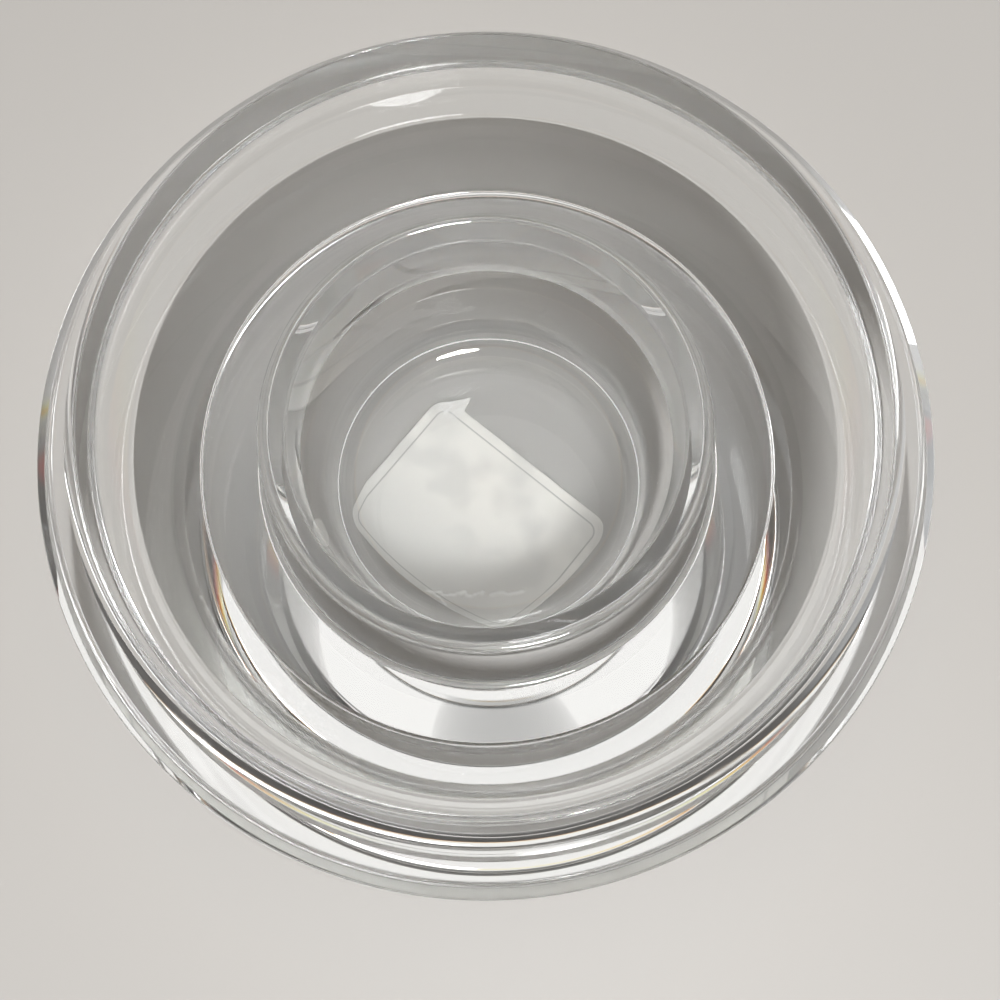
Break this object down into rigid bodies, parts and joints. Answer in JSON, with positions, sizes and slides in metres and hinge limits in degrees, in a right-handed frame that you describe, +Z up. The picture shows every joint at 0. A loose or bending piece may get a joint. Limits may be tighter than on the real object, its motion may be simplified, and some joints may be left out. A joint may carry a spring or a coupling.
{
  "type": "votive candle holder",
  "caption": "Heavy clear crystal votive candle holder: a wide tapering bowl with a deep central candle well, an open ring trough around it and a pale paper label under the foot.",
  "frame": {"origin": "centre of the foot, on the surface that the holder stands on", "axes": "+Z up along the axis of the turned glass; +Y points away from the picture's camera and +X to its right"},
  "size_m": [0.1144, 0.1144, 0.0547],
  "materials": {
    "crystal": "polished",
    "label": "matte"
  },
  "bodies": {
    "root": {"glass_body": "crystal", "base_label": "label"}
  },
  "joints": []
}
